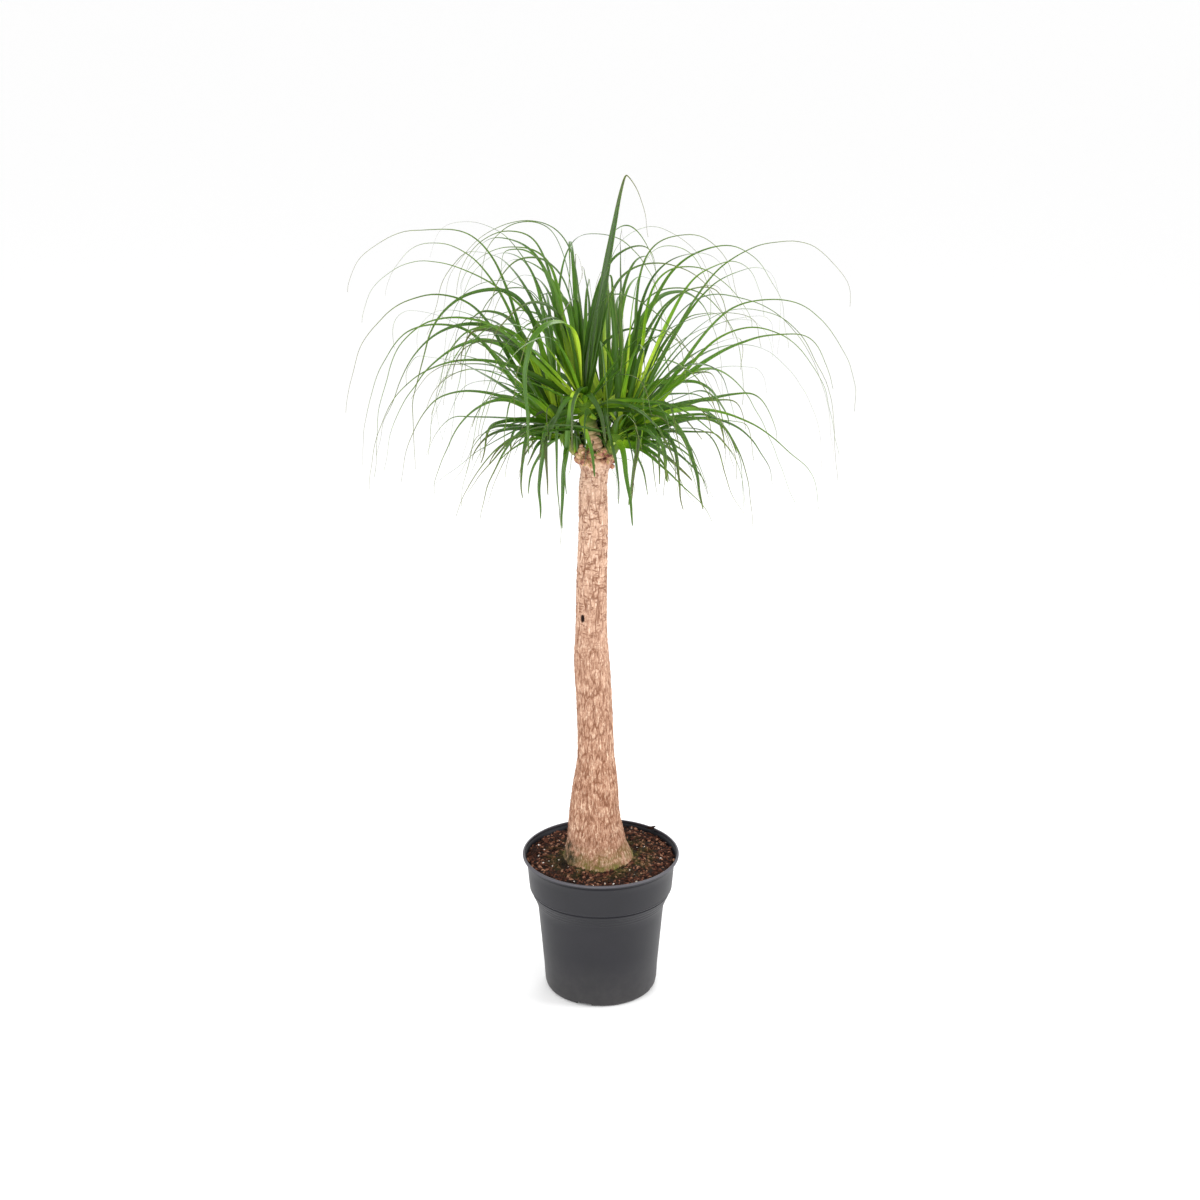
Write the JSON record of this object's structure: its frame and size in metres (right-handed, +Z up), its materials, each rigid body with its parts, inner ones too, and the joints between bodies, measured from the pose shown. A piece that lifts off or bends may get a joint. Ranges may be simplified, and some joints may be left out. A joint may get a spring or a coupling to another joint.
{
  "type": "potted ponytail palm",
  "caption": "Potted ponytail palm: swollen-footed slim trunk with arching strap-leaf heads, in a round tapered nursery pot filled with bark soil; stands on its foot ring.",
  "frame": {"origin": "middle of the pot's foot ring, on the surface the pot stands on", "axes": "+Z up along the pot's axis, +Y away from the viewer, +X to the viewer's right"},
  "size_m": [0.8014, 0.8011, 1.4009],
  "materials": {
    "pot_plastic": "satin moulded",
    "bark_soil": "rough chips",
    "trunk_bark": "cracked bark",
    "leaf": "leathery satin"
  },
  "bodies": {
    "root": {"pot": "pot_plastic", "soil": "bark_soil", "trunk": "trunk_bark", "head_centre": "leaf", "head_left": "leaf", "head_right": "leaf", "head_back": "leaf"}
  },
  "joints": []
}
